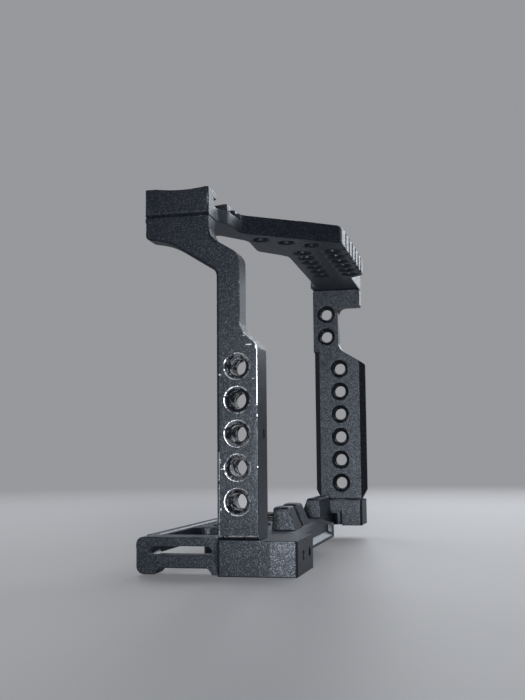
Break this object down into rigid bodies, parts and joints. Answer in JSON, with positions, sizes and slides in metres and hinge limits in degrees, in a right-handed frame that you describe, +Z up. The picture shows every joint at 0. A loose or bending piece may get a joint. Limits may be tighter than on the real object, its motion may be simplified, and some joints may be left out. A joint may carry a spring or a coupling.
{
  "type": "camera cage",
  "caption": "Metal camera cage: slotted base, stepped post, drilled top plate with cold shoe, safety-rail side plate and a captive camera screw.",
  "frame": {"origin": "centre of the cage's outer box, at the resting face", "axes": "+Z up with the cage on its base, -Y the camera's front, -X the hand-grip end"},
  "size_m": [0.145, 0.054, 0.1115],
  "materials": {
    "black_anodised": "bead-blasted, black anodised",
    "black_steel": "black oxide",
    "steel": "turned, satin",
    "white_plastic": "matt",
    "rubber": "fine matt grain"
  },
  "bodies": {
    "cage": {"base_plate": "black_anodised", "grip_post": "black_anodised", "top_plate": "black_anodised", "side_plate": "black_anodised", "near_lip": "black_anodised", "mid_lip": "black_anodised", "far_lip": "black_anodised", "post_foot_screws": "black_steel", "post_foot_dowel": "steel", "post_head_screws": "black_steel", "post_head_dowel": "steel", "side_foot_screws": "black_steel", "side_foot_dowel": "steel", "side_head_screws": "black_steel", "side_head_dowel": "steel", "near_lip_screws": "black_steel", "mid_lip_screws": "black_steel", "far_lip_screws": "black_steel", "post_lock_screw": "steel", "base_pad_near": "rubber", "base_pad_far": "rubber"},
    "clip": {"camera_screw_clip": "steel"},
    "screw": {"camera_screw": "steel", "camera_screw_washer": "white_plastic"}
  },
  "joints": [
    {"name": "screw_lift", "type": "slide", "parent": "cage", "child": "clip", "axis": [0, 0, 1], "range_m": [0, 0.0018]},
    {"name": "screw_turn", "type": "hinge", "parent": "clip", "child": "screw", "pos_m": [0.003, 0.01, 0.00765], "axis": [0, 0, 1], "continuous": true}
  ]
}
